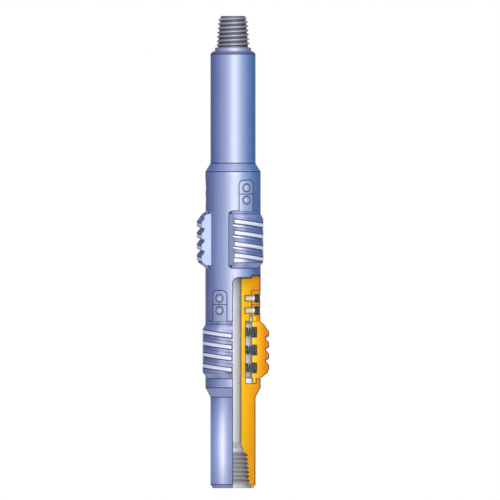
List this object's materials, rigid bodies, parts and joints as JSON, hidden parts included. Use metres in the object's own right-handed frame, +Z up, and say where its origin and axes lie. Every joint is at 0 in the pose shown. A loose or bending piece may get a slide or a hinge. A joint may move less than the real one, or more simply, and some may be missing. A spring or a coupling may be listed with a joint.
{
  "type": "casing scraper",
  "caption": "One-piece drill-string body with two levels of sprung, toothed blades held by tongues, retainers and spacers; lower half quarter-sectioned.",
  "frame": {"origin": "on the tool's axis, in the plane of the box end's face", "axes": "+Z up the tool's axis from the box to the pin, +X towards the sectioned lower blade, the cut quarter is towards +X and -Y"},
  "size_m": [0.17, 0.1698, 1.1099],
  "materials": {
    "body": "satin metallic blue; cut faces orange",
    "keeper": "satin metallic blue",
    "blade": "machined steel, bright on the teeth",
    "screw": "bright steel",
    "spring": "dark tempered wire"
  },
  "bodies": {
    "tool": {"body": "body", "retainer_upper_left": "keeper", "retainer_upper_front": "keeper", "retainer_upper_rear": "keeper", "retainer_lower_right": "keeper", "retainer_lower_front": "keeper", "retainer_lower_rear": "keeper", "spacer_upper_left": "keeper", "spacer_upper_front": "keeper", "spacer_upper_rear": "keeper", "spacer_lower_right": "keeper", "spacer_lower_front": "keeper", "spacer_lower_rear": "keeper", "retainer_screw_upper_left": "screw", "retainer_screw_upper_front": "screw", "retainer_screw_upper_rear": "screw", "retainer_screw_lower_right": "screw", "retainer_screw_lower_front": "screw", "retainer_screw_lower_rear": "screw", "spacer_screw_upper_left": "screw", "spacer_screw_upper_front": "screw", "spacer_screw_upper_rear": "screw", "spacer_screw_lower_right": "screw", "spacer_screw_lower_front": "screw", "spacer_screw_lower_rear": "screw", "spring_upper_left_1": "spring", "spring_upper_left_2": "spring", "spring_upper_left_3": "spring", "spring_upper_front_1": "spring", "spring_upper_front_2": "spring", "spring_upper_front_3": "spring", "spring_upper_rear_1": "spring", "spring_upper_rear_2": "spring", "spring_upper_rear_3": "spring", "spring_lower_right_1": "spring", "spring_lower_right_2": "spring", "spring_lower_right_3": "spring", "spring_lower_front_1": "spring", "spring_lower_front_2": "spring", "spring_lower_front_3": "spring", "spring_lower_rear_1": "spring", "spring_lower_rear_2": "spring", "spring_lower_rear_3": "spring"},
    "upper_left_blade": {"blade_upper_left": "blade"},
    "upper_front_blade": {"blade_upper_front": "blade"},
    "upper_rear_blade": {"blade_upper_rear": "blade"},
    "lower_right_blade": {"blade_lower_right": "blade"},
    "lower_front_blade": {"blade_lower_front": "blade"},
    "lower_rear_blade": {"blade_lower_rear": "blade"}
  },
  "joints": [
    {"name": "upper_left_press", "type": "slide", "parent": "tool", "child": "upper_left_blade", "axis": [1, 0, 0], "range_m": [0, 0.0065], "stiffness_N_per_m": 70000, "springref_m": -0.003, "deforming": ["spring_upper_left_1", "spring_upper_left_2", "spring_upper_left_3"]},
    {"name": "upper_front_press", "type": "slide", "parent": "tool", "child": "upper_front_blade", "axis": [-0.5, 0.866, 0], "range_m": [0, 0.0065], "stiffness_N_per_m": 70000, "springref_m": -0.003, "deforming": ["spring_upper_front_1", "spring_upper_front_2", "spring_upper_front_3"]},
    {"name": "upper_rear_press", "type": "slide", "parent": "tool", "child": "upper_rear_blade", "axis": [-0.5, -0.866, 0], "range_m": [0, 0.0065], "stiffness_N_per_m": 70000, "springref_m": -0.003, "deforming": ["spring_upper_rear_1", "spring_upper_rear_2", "spring_upper_rear_3"]},
    {"name": "lower_right_press", "type": "slide", "parent": "tool", "child": "lower_right_blade", "axis": [-1, 0, 0], "range_m": [0, 0.0065], "stiffness_N_per_m": 70000, "springref_m": -0.003, "deforming": ["spring_lower_right_1", "spring_lower_right_2", "spring_lower_right_3"]},
    {"name": "lower_front_press", "type": "slide", "parent": "tool", "child": "lower_front_blade", "axis": [0.5, 0.866, 0], "range_m": [0, 0.0065], "stiffness_N_per_m": 70000, "springref_m": -0.003, "deforming": ["spring_lower_front_1", "spring_lower_front_2", "spring_lower_front_3"]},
    {"name": "lower_rear_press", "type": "slide", "parent": "tool", "child": "lower_rear_blade", "axis": [0.5, -0.866, 0], "range_m": [0, 0.0065], "stiffness_N_per_m": 70000, "springref_m": -0.003, "deforming": ["spring_lower_rear_1", "spring_lower_rear_2", "spring_lower_rear_3"]}
  ]
}
